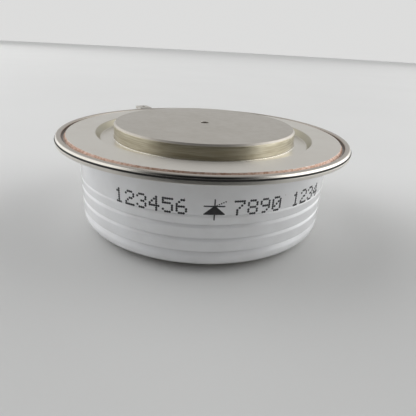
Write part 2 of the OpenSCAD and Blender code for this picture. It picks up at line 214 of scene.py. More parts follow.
def chain(name: str, points: Sequence[Vector], closed: bool) -> bpy.types.Object:
    """Draws a chain of edges by extruding one vertex from point to point.

    Args:
        name: The new object's name.
        points: The chain's points in order.
        closed: Whether an edge joins the last point to the first.

    Returns:
        The chain, left in object mode.
    """
    deselect()
    bpy.ops.mesh.primitive_plane_add(size=1)
    piece = bpy.context.object
    piece.name = name
    edit(piece)
    bpy.ops.mesh.merge(type="CENTER")
    bpy.ops.transform.translate(value=points[0])
    path = list(points) + ([points[0]] if closed else [])
    for a, b in zip(path, path[1:]):
        bpy.ops.mesh.extrude_vertices_move(TRANSFORM_OT_translate={"value": b - a})
    if closed:
        bpy.ops.mesh.select_all(action="SELECT")
        bpy.ops.mesh.remove_doubles(threshold=DOUBLES)
    bpy.ops.object.mode_set(mode="OBJECT")
    return piece


def turned(name: str, corners: Sequence[Corner], segments: int = SEGMENTS) -> bpy.types.Object:
    """Turns an outline about the Z axis.

    Args:
        name: The new object's name.
        corners: The outline. It is open where both ends lie on the axis.
        segments: The number of steps round the axis.

    Returns:
        A closed solid of revolution.
    """
    closed = corners[0].r > 0 or corners[-1].r > 0
    points = [Vector((r, 0, z)) for r, z in rounded(corners, closed)]
    piece = chain(name, points, closed)
    edit(piece)
    bpy.ops.mesh.spin(steps=segments, angle=2 * pi, center=(0, 0, 0), axis=(0, 0, 1))
    bpy.ops.mesh.select_all(action="SELECT")
    bpy.ops.mesh.remove_doubles(threshold=DOUBLES)
    bpy.ops.mesh.normals_make_consistent(inside=False)
    bpy.ops.object.mode_set(mode="OBJECT")
    return piece


def extruded(name: str, outline: Sequence[Vector], way: Vector) -> bpy.types.Object:
    """Fills a flat outline and extrudes it.

    Args:
        name: The new object's name.
        outline: The outline's points in order.
        way: How far and where the outline is moved.

    Returns:
        A closed prism.
    """
    piece = chain(name, [point - way / 2 for point in outline], closed=True)
    edit(piece)
    bpy.ops.mesh.edge_face_add()
    bpy.ops.mesh.extrude_region_move(TRANSFORM_OT_translate={"value": way})
    bpy.ops.mesh.select_all(action="SELECT")
    bpy.ops.mesh.normals_make_consistent(inside=False)
    bpy.ops.object.mode_set(mode="OBJECT")
    return piece


def rod(name: str, start: float, end: float, d: float, sides: int = 48) -> bpy.types.Object:
    """Returns a round rod that lies along +X between two distances.

    Args:
        name: The new object's name.
        start: Where the rod begins.
        end: Where it ends.
        d: Its diameter.
        sides: The number of its faces round the axis.

    Returns:
        The rod.
    """
    deselect()
    bpy.ops.mesh.primitive_cylinder_add(
        vertices=sides, radius=d / 2, depth=end - start,
        location=((start + end) / 2, 0, 0), rotation=(0, pi / 2, 0),
    )
    piece = bpy.context.object
    piece.name = name
    bpy.ops.object.transform_apply()
    return piece


def combine(piece: bpy.types.Object, other: bpy.types.Object, operation: str = "DIFFERENCE") -> None:
    """Cuts another solid out of a piece, or joins it on, and removes the other.

    Args:
        piece: The piece that stays.
        other: The solid that is used up.
        operation: DIFFERENCE or UNION.
    """
    only(piece)
    modifier = piece.modifiers.new("combine", "BOOLEAN")
    modifier.operation = operation
    modifier.solver = "EXACT"
    modifier.object = other
    bpy.ops.object.modifier_apply(modifier=modifier.name)
    bpy.data.objects.remove(other)


def lay_down(piece: bpy.types.Object) -> None:
    """Turns a piece that stands along Z so that it lies along +X.

    Args:
        piece: The piece to turn.
    """
    only(piece)
    piece.rotation_euler = (0, pi / 2, 0)
    bpy.ops.object.transform_apply()


def at_terminal(piece: bpy.types.Object, z: float) -> None:
    """Turns a piece from +X to the terminals and lifts it to a height.

    Args:
        piece: The piece to move.
        z: The height that its axis is lifted to.
    """
    only(piece)
    piece.matrix_world = Matrix.Translation((0, 0, z)) @ Matrix.Rotation(TERMINAL_ANGLE, 4, "Z")
    bpy.ops.object.transform_apply()


def break_edges(piece: bpy.types.Object, width: float, above: float = 30) -> None:
    """Bevels a piece's edges that are sharper than an angle in degrees.

    Args:
        piece: The piece to bevel.
        width: The width of the bevel.
        above: The angle between two faces beyond which their edge counts as sharp.
    """
    only(piece)
    modifier = piece.modifiers.new("edges", "BEVEL")
    modifier.width = width
    modifier.segments = 3
    modifier.limit_method = "ANGLE"
    modifier.angle_limit = radians(above)
    bpy.ops.object.modifier_apply(modifier=modifier.name)


def finish_mesh(piece: bpy.types.Object) -> bpy.types.Object:
    """Turns a piece's mesh into metres, shades it and returns the piece.

    Args:
        piece: The piece, modelled in millimetres.

    Returns:
        The same piece.
    """
    only(piece)
    piece.scale = (MM, MM, MM)
    bpy.ops.object.transform_apply()
    bpy.ops.object.shade_smooth_by_angle(angle=SMOOTH_BELOW)
    log.info("%s: %d faces", piece.name, len(piece.data.polygons))
    return piece


def dress(piece: bpy.types.Object, material: bpy.types.Material, slot: str, *nodes: str) -> None:
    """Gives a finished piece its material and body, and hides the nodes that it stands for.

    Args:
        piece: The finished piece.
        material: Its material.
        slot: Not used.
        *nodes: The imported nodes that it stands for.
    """
    piece.data.materials.clear()
    piece.data.materials.append(material)
    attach(piece, "root")
    if nodes:
        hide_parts(*nodes)


# Finishes


class Graph:
    """A material's nodes, with the object's coordinates in millimetres at hand."""

    def __init__(self, name: str) -> None:
        """Starts an empty material with one shader.

        Args:
            name: The material's name.
        """
        self.material = bpy.data.materials.new(name)
        self.material.use_nodes = True
        self.tree = self.material.node_tree
        self.shader = self.tree.nodes["Principled BSDF"]
        coordinates = self.tree.nodes.new("ShaderNodeTexCoord").outputs["Object"]
        self.place = self.vector("SCALE", coordinates, scale=1 / MM)
        split = self.node("ShaderNodeSeparateXYZ", {"Vector": self.place})
        self.x, self.y, self.z = (split.outputs[axis] for axis in "XYZ")
        flat = self.node("ShaderNodeCombineXYZ", {"X": self.x, "Y": self.y}).outputs[0]
        self.r = self.vector("LENGTH", flat)

    def node(self, kind: str, inputs: dict[str, Input], **settings: object) -> bpy.types.Node:
        """Adds a node.

        Args:
            kind: The node's type name.
            inputs: The value or the source of each input, by its name.
            **settings: The node's own properties.

        Returns:
            The new node.
        """
        made = self.tree.nodes.new(kind)
        for name, value in settings.items():
            setattr(made, name, value)
        for name, value in inputs.items():
            self.feed(made.inputs[name], value)
        return made

    def feed(self, socket: bpy.types.NodeSocket, value: Input) -> None:
        """Links a source to an input, or sets the input's own value.

        Args:
            socket: The input.
            value: Its new source or value.
        """
        if isinstance(value, bpy.types.NodeSocket):
            self.tree.links.new(value, socket)
        else:
            socket.default_value = value

    def vector(
        self, operation: str, a: Input, b: Input = (0, 0, 0), scale: float = 1,
    ) -> bpy.types.NodeSocket:
        """Returns the result of a vector operation.

        Args:
            operation: The operation's name.
            a: The first vector.
            b: The second vector, where the operation takes one.
            scale: The factor of a SCALE.

        Returns:
            The resulting vector, or a number for a LENGTH.
        """
        settings = {"Scale": scale} if operation == "SCALE" else {}
        made = self.node("ShaderNodeVectorMath", settings, operation=operation)
        self.feed(made.inputs[0], a)
        if operation not in ("LENGTH", "SCALE"):
            self.feed(made.inputs[1], b)
        return made.outputs["Value" if operation == "LENGTH" else "Vector"]

    def math(self, operation: str, a: Input, b: Input = 0.0, clamp: bool = False) -> bpy.types.NodeSocket:
        """Returns the result of a number operation.

        Args:
            operation: The operation's name.
            a: The first number.
            b: The second number, where the operation takes one.
            clamp: Whether the result is kept between 0 and 1.

        Returns:
            The resulting number.
        """
        made = self.node("ShaderNodeMath", {}, operation=operation, use_clamp=clamp)
        self.feed(made.inputs[0], a)
        self.feed(made.inputs[1], b)
        return made.outputs[0]

    def ramp(self, value: Input, start: float, end: float, to: Point = (0.0, 1.0)) -> bpy.types.NodeSocket:
        """Returns a value mapped smoothly from one range to another.

        Args:
            value: The number to map.
            start: Where the first range starts.
            end: Where it ends.
            to: The start and end of the second range.

        Returns:
            The mapped number.
        """
        made = self.node(
            "ShaderNodeMapRange",
            {"Value": value, "From Min": start, "From Max": end, "To Min": to[0], "To Max": to[1]},
            interpolation_type="SMOOTHSTEP",
        )
        return made.outputs["Result"]

    def band(self, value: Input, start: float, end: float, soft: float = 0.06) -> bpy.types.NodeSocket:
        """Returns a mask that is 1 between two numbers.

        Args:
            value: The number to test.
            start: The lower bound.
            end: The upper bound.
            soft: Half the width over which the mask fades at each bound.

        Returns:
            The mask.
        """
        return self.math("MULTIPLY", self.ramp(value, start - soft, start + soft),
                         self.ramp(value, end + soft, end - soft))

    def noise(self, scale: float, detail: float = 2, rough: float = 0.5) -> bpy.types.NodeSocket:
        """Returns cloudy noise in space, with a scale in cycles a millimetre.

        Args:
            scale: The size of the clouds, in cycles a millimetre.
            detail: How many finer layers are added.
            rough: How strong the finer layers are.

        Returns:
            The noise, from 0 to 1.
        """
        inputs = {"Vector": self.place, "Scale": scale, "Detail": detail, "Roughness": rough}
        return self.node("ShaderNodeTexNoise", inputs).outputs["Fac"]

    def lines(self, along: Input, scale: float, detail: float = 3) -> bpy.types.NodeSocket:
        """Returns noise along one number only, as a cutting tool leaves it.

        Args:
            along: The number that the noise runs along.
            scale: Cycles a millimetre.
            detail: How many finer layers are added.

        Returns:
            The noise, from 0 to 1.
        """
        inputs = {"W": along, "Scale": scale, "Detail": detail, "Roughness": 0.7}
        return self.node("ShaderNodeTexNoise", inputs, noise_dimensions="1D").outputs["Fac"]

    def mix(self, factor: Input, a: Input, b: Input) -> bpy.types.NodeSocket:
        """Returns a mix of two colours.

        Args:
            factor: The share of the second colour.
            a: The first colour.
            b: The second colour.

        Returns:
            The mixed colour.
        """
        made = self.tree.nodes.new("ShaderNodeMix")
        made.data_type = "RGBA"
        for name, value in (("Factor_Float", factor), ("A_Color", a), ("B_Color", b)):
            socket = next(s for s in made.inputs if s.identifier == name)
            self.feed(socket, (*value, 1) if isinstance(value, tuple) else value)
        return next(s for s in made.outputs if s.identifier == "Result_Color")

    def bump(self, height: Input, depth: float, over: Input = None) -> bpy.types.NodeSocket:
        """Returns a normal roughened by a height, with a depth in millimetres.

        Args:
            height: The height, from 0 to 1.
            depth: What a height of 1 stands for, in millimetres.
            over: A normal that is already roughened.

        Returns:
            The normal.
        """
        inputs = {"Height": height, "Distance": depth * MM, "Strength": 1.0}
        if over is not None:
            inputs["Normal"] = over
        return self.node("ShaderNodeBump", inputs).outputs["Normal"]

    def shade(self, **inputs: Input) -> bpy.types.Material:
        """Feeds the shader's inputs, named with _ for each space, and returns the material.

        Args:
            **inputs: The value or the source of each of the shader's inputs.

        Returns:
            The material.
        """
        for name, value in inputs.items():
            socket = self.shader.inputs[name.replace("_", " ")]
            self.feed(socket, (*value, 1) if isinstance(value, tuple) and len(value) == 3 else value)
        return self.material


@dataclass(frozen=True)
class TurnedNickel:
    """Nickel plate over turned copper, with the fine rings that the tool left.

    The side beyond side_r is greyer and has streaks that run round the pole.
    """

    name: str
    tint: tuple = (0.58, 0.545, 0.50)
    worn: tuple = (0.54, 0.505, 0.455)
    side_tint: tuple = (0.73, 0.69, 0.575)
    side_worn: tuple = (0.57, 0.52, 0.40)
    side_r: float = 23.5
    roughness: float = 0.30
    brushing: float = 0.85
    ring_depth: float = 0.004
    rings_per_mm: float = 4.5
    streak_depth: float = 0.02
    streak_stretch: tuple = (0.16, 0.16, 3.2)

    def material(self) -> bpy.types.Material:
        """Returns the finish.

        Returns:
            The material.
        """
        g = Graph(self.name)
        along = g.math("ADD", g.r, g.z)
        rings = g.lines(along, self.rings_per_mm, 4)
        clouds = g.noise(0.13, 4, 0.6)
        smears = g.noise(0.55, 3, 0.6)
        colour = g.mix(g.ramp(clouds, 0.35, 0.7), self.tint, self.worn)
        colour = g.mix(g.ramp(rings, 0.42, 0.75, (0.0, 0.5)), colour, self.worn)
        drawn_out = g.vector("MULTIPLY", g.place, self.streak_stretch)
        streaky = {"Vector": drawn_out, "Scale": 1.0, "Detail": 4}
        streaks = g.node("ShaderNodeTexNoise", streaky).outputs["Fac"]
        side = g.mix(g.ramp(streaks, 0.35, 0.65), self.side_tint, self.side_worn)
        on_side = g.ramp(g.r, self.side_r - 0.1, self.side_r - 0.02)
        colour = g.mix(on_side, colour, side)
        rough = g.math("ADD", g.ramp(smears, 0.3, 0.75, (self.roughness - 0.03, self.roughness + 0.05)),
                       g.math("MULTIPLY", rings, 0.06))
        normal = g.bump(rings, self.ring_depth)
        normal = g.bump(g.math("MULTIPLY", streaks, on_side), self.streak_depth, normal)
        around = g.node("ShaderNodeTangent", {}, direction_type="RADIAL", axis="Z").outputs[0]
        return g.shade(Base_Color=colour, Metallic=1.0, Roughness=rough, Normal=normal, Tangent=around,
                       Anisotropic=g.math("MULTIPLY", on_side, self.brushing), Anisotropic_Rotation=0.25)


@dataclass(frozen=True)
class SheetNickel:
    """Nickel plate over formed copper sheet.

    Copper shows through between the two radii of groove. The wall of the recess, between its two given
    radii, has painted shade that makes it darker, and the bead's crest is darker.
    Painted shade darkens the groove's floor at the bead's foot. The seam is an inner radius and two heights
    of painted shade, which also paints a dark reflection on the lower part of the bead's flank.
    """

    name: str
    tint: tuple = (0.77, 0.74, 0.69)
    worn: tuple = (0.74, 0.705, 0.655)
    copper: tuple = (0.50, 0.30, 0.21)
    bright_copper: tuple = (0.73, 0.53, 0.44)
    crest_tint: tuple = (0.50, 0.455, 0.41)
    # Painted shade at the foot of the groove, beside the bead.
    groove_shade: tuple = (0.10, 0.07, 0.055)
    # Painted shade in the notch under the bead, and a painted dark reflection on the flank above it.
    notch_shade: tuple = (0.012, 0.011, 0.010)
    roughness: float = 0.285
    groove: Point = (0.0, 0.0)
    seam: tuple = (0.0, 0.0, 0.0)
    recess_wall: Point = (0.0, 0.0)
    # Painted shade on the wall of the recess.
    recess_wall_shade: tuple = (0.46, 0.43, 0.34)
    crest: Point = (0.0, 0.0)
    bare_metal: float = 0.6
    bare_dulling: float = 0.2
    flank_polish: float = 0.12
    cloud_depth: float = 0.004
    grain_depth: float = 0.0004

    def material(self) -> bpy.types.Material:
        """Returns the finish.

        Returns:
            The material.
        """
        g = Graph(self.name)
        clouds = g.noise(0.11, 4, 0.6)
        grain = g.noise(2.4, 3, 0.6)
        colour = g.mix(g.ramp(clouds, 0.35, 0.7), self.tint, self.worn)
        rough = g.ramp(g.noise(0.4, 4, 0.6), 0.3, 0.7, (self.roughness - 0.01, self.roughness + 0.02))
        metal: Input = 1.0
        if self.groove[1]:
            ragged = g.math("ADD", g.r, g.ramp(g.noise(1.1, 3), 0.2, 0.8, (-0.08, 0.08)))
            inner, outer = self.groove
            bare = g.band(ragged, inner, outer)
            dashes = g.ramp(g.noise(1.3, 3, 0.6), 0.38, 0.62)
            colour = g.mix(bare, colour, g.mix(dashes, self.copper, self.bright_copper))
            rough = g.math("ADD", rough, g.math("MULTIPLY", bare, self.bare_dulling))
            metal = g.ramp(bare, 0.0, 1.0, (1.0, self.bare_metal))
            # Painted shade: the wall of the recess is darkened.
            colour = g.mix(g.band(g.r, *self.recess_wall, 0.15), colour, self.recess_wall_shade)
            # Painted shade: the groove's floor at the bead's foot is darkened.
            foot = g.band(g.r, outer + 0.05, self.crest[0] + 0.05, 0.05)
            colour = g.mix(foot, colour, self.groove_shade)
            crest = g.band(g.r, *self.crest, 0.05)
            colour = g.mix(crest, colour, self.crest_tint)
            flank = g.ramp(g.r, self.crest[1] - 0.05, self.crest[1] + 0.1)
            rough = g.math("SUBTRACT", rough, g.math("MULTIPLY", flank, self.flank_polish))
        # Painted shade in the notch and a painted dark reflection on the flank's lower part: near black, not
        # metal, rougher.
        if self.seam[0]:
            r, under, over = self.seam
            inside = g.math("MULTIPLY", g.ramp(g.z, under - 0.04, under + 0.04),
                            g.ramp(g.z, over + 0.08, over))
            inside = g.math("MULTIPLY", inside, g.math("GREATER_THAN", g.r, r))
            colour = g.mix(inside, colour, self.notch_shade)
            metal = g.math("SUBTRACT", metal, inside, clamp=True)
            rough = g.math("ADD", rough, g.math("MULTIPLY", inside, 0.5))
        normal = g.bump(clouds, self.cloud_depth)
        normal = g.bump(grain, self.grain_depth, normal)
        return g.shade(Base_Color=colour, Metallic=metal, Roughness=rough, Normal=normal)


@dataclass(frozen=True)
class Glaze:
    """White alumina under a clear glaze, with a few fine specks."""

    name: str
    body: tuple = (0.85, 0.855, 0.865)
    shade_tint: tuple = (0.81, 0.81, 0.815)
    speck: tuple = (0.36, 0.31, 0.25)

    def material(self) -> bpy.types.Material:
        """Returns the finish.

        Returns:
            The material.
        """
        g = Graph(self.name)
        colour = g.mix(g.ramp(g.noise(0.16, 3), 0.35, 0.7), self.body, self.shade_tint)
        cells = g.node("ShaderNodeTexVoronoi", {"Vector": g.place, "Scale": 0.42})
        chance = g.ramp(g.math("FRACT", g.math("MULTIPLY", cells.outputs["Color"], 7.31)), 0.8, 0.82)
        spot = g.math("MULTIPLY", g.ramp(cells.outputs["Distance"], 0.075, 0.035), chance)
        colour = g.mix(g.math("MULTIPLY", spot, 0.55), colour, self.speck)
        normal = g.bump(g.noise(0.35, 2), 0.03)
        rough = g.ramp(g.noise(0.7, 3), 0.3, 0.7, (0.30, 0.38))
        return g.shade(Base_Color=colour, Roughness=rough, Normal=normal, Coat_Weight=0.8,
                       Coat_Roughness=0.06, Coat_IOR=1.5)


@dataclass(frozen=True)
class BrushedMetal:
    """A small metal part: plated, drawn or ground, with clouds and a fine grain."""

    name: str
    tint: tuple
    worn: tuple
    roughness: float = 0.3
    grain: float = 3.0
    depth: float = 0.006

    def material(self) -> bpy.types.Material:
        """Returns the finish.

        Returns:
            The material.
        """
        g = Graph(self.name)
        colour = g.mix(g.ramp(g.noise(0.5, 4, 0.6), 0.35, 0.7), self.tint, self.worn)
        grain = g.noise(self.grain, 4, 0.65)
        rough = g.ramp(grain, 0.25, 0.75, (self.roughness - 0.05, self.roughness + 0.08))
        normal = g.bump(grain, self.depth)
        return g.shade(Base_Color=colour, Metallic=1.0, Roughness=rough, Normal=normal)


@dataclass(frozen=True)
class Moulded:
    """Moulded plastic, silicone or printed ink, with a faint mottle."""

    name: str
    tint: tuple
    dull: tuple
    roughness: float = 0.45
    clear: float = 0.0

    def material(self) -> bpy.types.Material:
        """Returns the finish.

        Returns:
            The material.
        """
        g = Graph(self.name)
        colour = g.mix(g.ramp(g.noise(0.6, 3), 0.3, 0.7), self.tint, self.dull)
        rough = g.ramp(g.noise(2.0, 3), 0.3, 0.7, (self.roughness - 0.05, self.roughness + 0.08))
        normal = g.bump(g.noise(3.0, 3), 0.004)
        return g.shade(Base_Color=colour, Roughness=rough, Normal=normal, Transmission_Weight=self.clear)


# The capsule's pieces


@dataclass
class Profile:
    """Radii and heights that several pieces share, read from the frame where a node's box gives them."""

    rim_r: float = field(default_factory=lambda: reach("housing_flange"))
    ceramic_r: float = field(default_factory=lambda: reach("ceramic_ring"))
    shoulder_r: float = field(default_factory=lambda: reach("cathode_pole"))
    top_z: float = field(default_factory=lambda: high("cathode_pole").z)
    ceramic_top_z: float = field(default_factory=lambda: high("ceramic_ring").z)
    foot_z: float = field(default_factory=lambda: low("ceramic_ring").z)
    under_z: float = field(default_factory=lambda: low("cathode_flange").z)
    floor_z: float = field(default_factory=lambda: low("cathode_braze_ring").z)
    gate_z: float = field(default_factory=lambda: (low("gate_tube").z + high("gate_tube").z) / 2)
    plate_z: float = field(default_factory=lambda: high("cathode_flange").z)
    shoulder_w: float = 1.7
    bead_d: float = 1.6
    bond_gap: float = 0.03
    housing_sheet: float = 0.5
    hole_d: float = 2.2
    hole_h: float = 3.0
    chamfer: float = 0.45

    @property
    def contact_r(self) -> float:
        """The radius of both contact faces."""
        return self.shoulder_r - self.shoulder_w

    @property
    def sheet_hole_r(self) -> float:
        """The radius of each sheet's hole round a pole."""
        return self.contact_r + self.bond_gap

    @property
    def seam_z(self) -> float:
        """The height of the seam between the two welded sheets."""
        return self.ceramic_top_z + self.housing_sheet


@dataclass
class CathodePole:
    """The upper pole piece, with its contact face, centre hole, gate bore and slot for the gate lead."""

    profile: Profile
    face_break: float = 0.09
    seat_rounding: float = 0.3
    shoulder_rounding: float = 0.4
    gate_bore_r: float = 4.0
    gate_bore_top_z: float = 21.0
    seat_h: float = 1.5

    def build(self) -> bpy.types.Object:
        """Returns the turned pole with its slot.

        Returns:
            The finished piece.
        """
        p = self.profile
        base_z = low("cathode_pole").z
        seat_r = reach("cathode_molybdenum_disc")
        shoulder_z = base_z + self.seat_h
        hole_r = p.hole_d / 2
        piece = turned("cathode_contact", [
            Corner(0, self.gate_bore_top_z),
            Corner(self.gate_bore_r, self.gate_bore_top_z),
            Corner(self.gate_bore_r, base_z, self.face_break),
            Corner(seat_r, base_z, self.seat_rounding),
            Corner(seat_r, shoulder_z),
            Corner(p.shoulder_r, shoulder_z, self.shoulder_rounding),
            Corner(p.shoulder_r, p.under_z, self.face_break),
            Corner(p.contact_r, p.under_z),
            Corner(p.contact_r, p.top_z - p.chamfer, self.face_break),
            Corner(p.contact_r - p.chamfer, p.top_z, self.face_break),
            Corner(hole_r, p.top_z, self.face_break),
            Corner(hole_r, p.top_z - p.hole_h),
            Corner(0, p.top_z - p.hole_h),
        ])
        self.cut_slot(piece, base_z)
        return finish_mesh(piece)

    def cut_slot(self, piece: bpy.types.Object, base_z: float) -> None:
        """Cuts the round-topped slot that takes the gate lead out to the ceramic.

        Args:
            piece: The turned pole.
            base_z: The height of the pole's lower face.
        """
        width = high("gate_lead_sleeve").z - low("gate_lead_sleeve").z + 0.4
        height = self.profile.gate_z - base_z + 1
        end = self.profile.shoulder_r + 1
        deselect()
        bpy.ops.mesh.primitive_cube_add(
            size=1, location=(end / 2, 0, -height / 2), scale=(end, width, height),
        )
        box = bpy.context.object
        bpy.ops.object.transform_apply()
        for cutter in (box, rod("slot_roof", 0, end, width)):
            at_terminal(cutter, self.profile.gate_z)
            combine(piece, cutter)


@dataclass
class AnodePole:
    """The lower pole piece."""

    profile: Profile
    face_break: float = 0.09
    seat_h: float = 2.4

    def build(self) -> bpy.types.Object:
        """Returns the turned pole.

        Returns:
            The finished piece.
        """
        p = self.profile
        seat_z = high("anode_pole").z
        shoulder_z = seat_z - self.seat_h
        seat_r = reach("anode_molybdenum_disc") - 0.5
        hole_r = p.hole_d / 2
        piece = turned("anode_contact", [
            Corner(0, p.hole_h),
            Corner(hole_r, p.hole_h),
            Corner(hole_r, 0, self.face_break),
            Corner(p.contact_r - p.chamfer, 0, self.face_break),
            Corner(p.contact_r, p.chamfer, self.face_break),
            Corner(p.contact_r, p.foot_z),
            Corner(p.shoulder_r, p.foot_z),
            Corner(p.shoulder_r, shoulder_z, 0.4),
            Corner(seat_r, shoulder_z),
            Corner(seat_r, seat_z, 0.3),
            Corner(0, seat_z),
        ])
        return finish_mesh(piece)


@dataclass
class BrazeRing:
    """The scooped fillet of braze between a pole and its sheet."""

    profile: Profile
    side: Side
    z: float
    leg: float = 0.26
    scoop_steps: int = 6

    def build(self) -> bpy.types.Object:
        """Returns the fillet.

        Returns:
            The finished piece.
        """
        way = self.side.value
        start_r = self.profile.sheet_hole_r
        end_r = start_r + self.leg
        scoop = self.leg * 0.95
        corners = [Corner(start_r, self.z), Corner(start_r, self.z + way * self.leg)]
        for i in range(self.scoop_steps + 1):
            a = pi + pi / 2 * i / self.scoop_steps
            corners.append(Corner(end_r + scoop * cos(a), self.z + way * (self.leg + scoop * sin(a))))
        corners.append(Corner(end_r, self.z))
        piece = turned("cathode_braze" if self.side is Side.UP else "anode_braze", corners)
        return finish_mesh(piece)


@dataclass
class Sheets:
    """The sheets: the cathode's with its recess, plate, groove and bead, the housing's and the anode's."""

    profile: Profile
    cathode_sheet: float = 0.8
    recess_floor_w: float = 3.4
    recess_slope_w: float = 1.1
    bend_r: float = 0.35
    plate_bend_r: float = 0.35
    groove_w: float = 1.0
    groove_slope_w: float = 0.5
    groove_web: float = 0.12
    lip_h: float = 0.75
    lip_slant: float = 0.05
    flank_w: float = 0.5
    crest_r: float = 0.35
    # How far above the seam the painted dark reflection reaches up the bead's flank.
    flank_dark_h: float = 0.28
    notch_depth: float = 0.5

    @property
    def bead_inner_r(self) -> float:
        """The radius at which the bead begins."""
        return self.profile.rim_r - self.profile.bead_d

    @property
    def groove_inner_r(self) -> float:
        """The radius at which the groove begins."""
        return self.bead_inner_r - self.groove_w

    @property
    def recess_outer_r(self) -> float:
        """The radius at which the plate begins."""
        return self.profile.contact_r + self.recess_floor_w + self.recess_slope_w

    @property
    def notch(self) -> tuple[float, float, float]:
        """The inner radius, lower height and upper height of the painted shade in the notch under the bead,
        which reaches up the flank as a painted dark reflection.
        """
        lip_z = self.profile.seam_z - self.profile.bead_d / 2 + self.lip_h
        return self.profile.rim_r - 1, lip_z, self.profile.seam_z + self.flank_dark_h

    def bend_shift(self) -> float:
        """Returns how far a bend's lower corner lies outside its upper one."""
        rise = self.profile.plate_z - self.profile.floor_z
        return self.cathode_sheet * tan(atan2(rise, self.recess_slope_w) / 2)

    def build_cathode(self) -> bpy.types.Object:
        """Returns the cathode's sheet.

        Returns:
            The finished piece.
        """
        p = self.profile
        shift = self.bend_shift()
        recess_inner_r = p.contact_r + self.recess_floor_w
        groove_z = p.seam_z + self.groove_web
        bead_r = p.bead_d / 2
        piece = turned("cathode_sheet", [
            Corner(p.sheet_hole_r, p.floor_z, 0.05),
            Corner(recess_inner_r, p.floor_z, self.bend_r),
            Corner(self.recess_outer_r, p.plate_z, self.plate_bend_r),
            Corner(self.groove_inner_r, p.plate_z, 0.14),
            Corner(self.groove_inner_r + self.groove_slope_w, groove_z, 0.1),
            Corner(self.bead_inner_r, groove_z, 0.05),
            Corner(self.bead_inner_r, p.seam_z + bead_r, self.crest_r),
            Corner(p.rim_r - self.flank_w, p.seam_z + bead_r, self.crest_r),
            Corner(p.rim_r, p.seam_z, 0.03),
            Corner(self.recess_outer_r + shift, p.seam_z, self.bend_r),
            Corner(recess_inner_r + shift, p.under_z, self.bend_r + self.cathode_sheet / 2),
            Corner(p.sheet_hole_r, p.under_z, 0.05),
        ])
        return finish_mesh(piece)

    def build_housing(self) -> bpy.types.Object:
        """Returns the flat sheet on the ceramic, with the lower half of the bead.

        Returns:
            The finished piece.
        """
        p = self.profile
        bead_r = p.bead_d / 2
        hole_r = self.recess_outer_r + self.bend_shift() + 0.4
        groove_z = p.seam_z - self.groove_web
        lip_z = p.seam_z - bead_r + self.lip_h
        piece = turned("housing_sheet", [
            Corner(hole_r, p.seam_z),
            Corner(p.rim_r - self.notch_depth, p.seam_z),
            Corner(p.rim_r - self.notch_depth, lip_z),
            Corner(p.rim_r, lip_z, 0.08),
            Corner(p.rim_r - self.lip_slant, p.seam_z - bead_r, 0.12),
            Corner(self.bead_inner_r, p.seam_z - bead_r, bead_r * 0.3),
            Corner(self.bead_inner_r, groove_z, 0.1),
            Corner(self.groove_inner_r + self.groove_slope_w, groove_z, 0.1),
            Corner(self.groove_inner_r, p.ceramic_top_z, 0.14),
            Corner(hole_r, p.ceramic_top_z),
        ])
        return finish_mesh(piece)

    def build_anode(self) -> bpy.types.Object:
        """Returns the flat sheet under the ceramic.

        Returns:
            The finished piece.
        """
        top_z, under_z, r = high("anode_flange").z, low("anode_flange").z, reach("anode_flange")
        piece = turned("anode_sheet", [
            Corner(self.profile.sheet_hole_r, top_z),
            Corner(r, top_z, 0.06),
            Corner(r, under_z, 0.12),
            Corner(self.profile.sheet_hole_r, under_z),
        ])
        return finish_mesh(piece)


@dataclass
class CeramicRing:
    """The glazed ring: a plain band above four sheds, with the gate tube's hole through its wall."""

    profile: Profile
    wall: float = 4.4
    shed_h: float = 3.12
    shed_count: int = 2
    top_shed_h: float = 2.2
    foot_shed_h: float = 4.0
    depth: float = 0.55
    band_depth: float = 0.28
    crest: float = 0.24
    crest_r: float = 0.5
    edge_r: float = 0.22
    valley_r: float = 0.14
    foot_r: float = 2.4
    foot_straight: float = 0.3
    foot_crest_r: float = 1.0
    top_r: float = 0.4

    def side(self, top_z: float, depth: float, h: float) -> list[Corner]:
        """Returns the outline of one shed's side, from the valley above it over its crest.

        Args:
            top_z: The height of the valley above the shed.
            depth: How deep that valley is.
            h: The shed's height.

        Returns:
            The valley's corner and the crest's.
        """
        r = self.profile.ceramic_r
        return [Corner(r - depth, top_z, min(self.valley_r, depth / 4)),
                Corner(r, top_z - h * self.crest, self.crest_r)]

    def edge_over(self, depth: float, z: float) -> Corner:
        """Returns the rounded edge over a valley.

        Args:
            depth: How deep the valley is.
            z: Its height.

        Returns:
            The edge's corner.
        """
        return Corner(self.profile.ceramic_r, z, min(self.edge_r, depth * 0.4))

    def build(self) -> bpy.types.Object:
        """Returns the ring.

        Returns:
            The finished piece.
        """
        p = self.profile
        bore_r = p.ceramic_r - self.wall
        counter_r = Sheets(p).recess_outer_r + Sheets(p).bend_shift() + 0.4
        counter_z = p.under_z - 0.5
        foot_top = p.foot_z + self.foot_shed_h
        sheds_top = foot_top + self.shed_count * self.shed_h + self.top_shed_h
        corners = [
            Corner(bore_r, counter_z),
            Corner(counter_r, counter_z),
            Corner(counter_r, p.ceramic_top_z),
            Corner(p.ceramic_r, p.ceramic_top_z, self.top_r),
            self.edge_over(self.band_depth, sheds_top),
            *self.side(sheds_top, self.band_depth, self.top_shed_h),
        ]
        for i in range(self.shed_count):
            z = sheds_top - self.top_shed_h - i * self.shed_h
            corners += [self.edge_over(self.depth, z), *self.side(z, self.depth, self.shed_h)]
        corners += [
            self.edge_over(self.depth, foot_top),
            Corner(p.ceramic_r - self.depth, foot_top, min(self.valley_r, self.depth / 4)),
            Corner(p.ceramic_r, p.foot_z + self.foot_r + self.foot_straight, self.foot_crest_r),
            Corner(p.ceramic_r, p.foot_z, self.foot_r),
            Corner(bore_r, p.foot_z, 0.5),
        ]
        piece = turned("ceramic_body", corners)
        hole = rod("gate_hole", bore_r - 1, p.ceramic_r + 1, high("gate_tube").z - low("gate_tube").z + 0.06)
        at_terminal(hole, p.gate_z)
        combine(piece, hole)
        return finish_mesh(piece)


